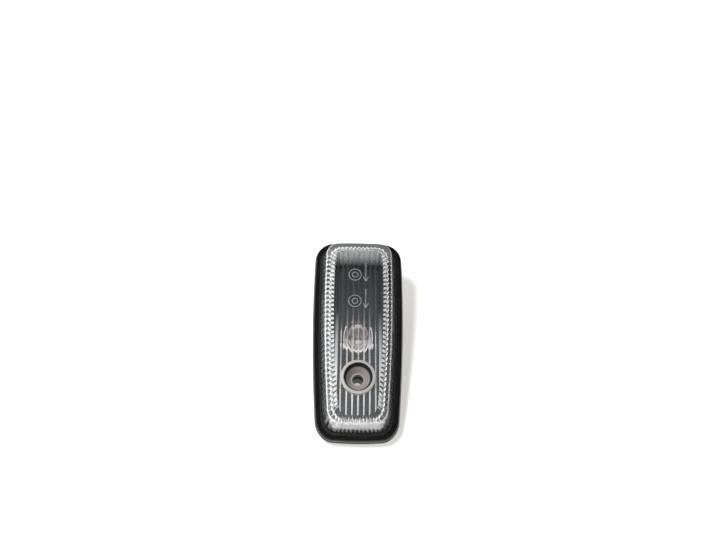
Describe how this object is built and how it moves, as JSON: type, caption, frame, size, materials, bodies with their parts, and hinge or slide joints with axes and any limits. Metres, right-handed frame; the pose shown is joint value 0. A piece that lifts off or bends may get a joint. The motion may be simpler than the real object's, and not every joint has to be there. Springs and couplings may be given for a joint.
{
  "type": "side repeater lamp",
  "caption": "Clear side repeater lamp for a car wing: ribbed lens on a black housing with a rubber gasket, a twist-lock holder and a wedge-base bulb, held by one screw and a hook.",
  "frame": {"origin": "on the fixing screw's axis, in the plane of the body panel (the gasket's back)", "axes": "+Z out of the panel through the lens, +Y from the screw to the hook along the lamp's length"},
  "size_m": [0.0392, 0.0894, 0.0319],
  "materials": {
    "clear_lens": "clear moulded polycarbonate, polished outside, fluted and ribbed inside",
    "black_moulding": "black moulding, fine spark texture",
    "gasket_rubber": "smooth black rubber, satin",
    "pale_nylon": "natural glass-filled nylon, slightly translucent",
    "seal_rubber": "soft black rubber",
    "contact_brass": "stamped brass strip",
    "bulb_glass": "glass with a thin silvery coating",
    "filament_wire": "tungsten coil",
    "lead_wire": "nickel-iron wire"
  },
  "bodies": {
    "root": {"lens": "clear_lens", "housing": "black_moulding", "gasket": "gasket_rubber", "bulb_holder": "pale_nylon", "holder_seal": "seal_rubber", "contact_left": "contact_brass", "contact_right": "contact_brass", "bulb_glass": "bulb_glass", "bulb_filament": "filament_wire", "bulb_lead_left": "lead_wire", "bulb_lead_right": "lead_wire"}
  },
  "joints": []
}
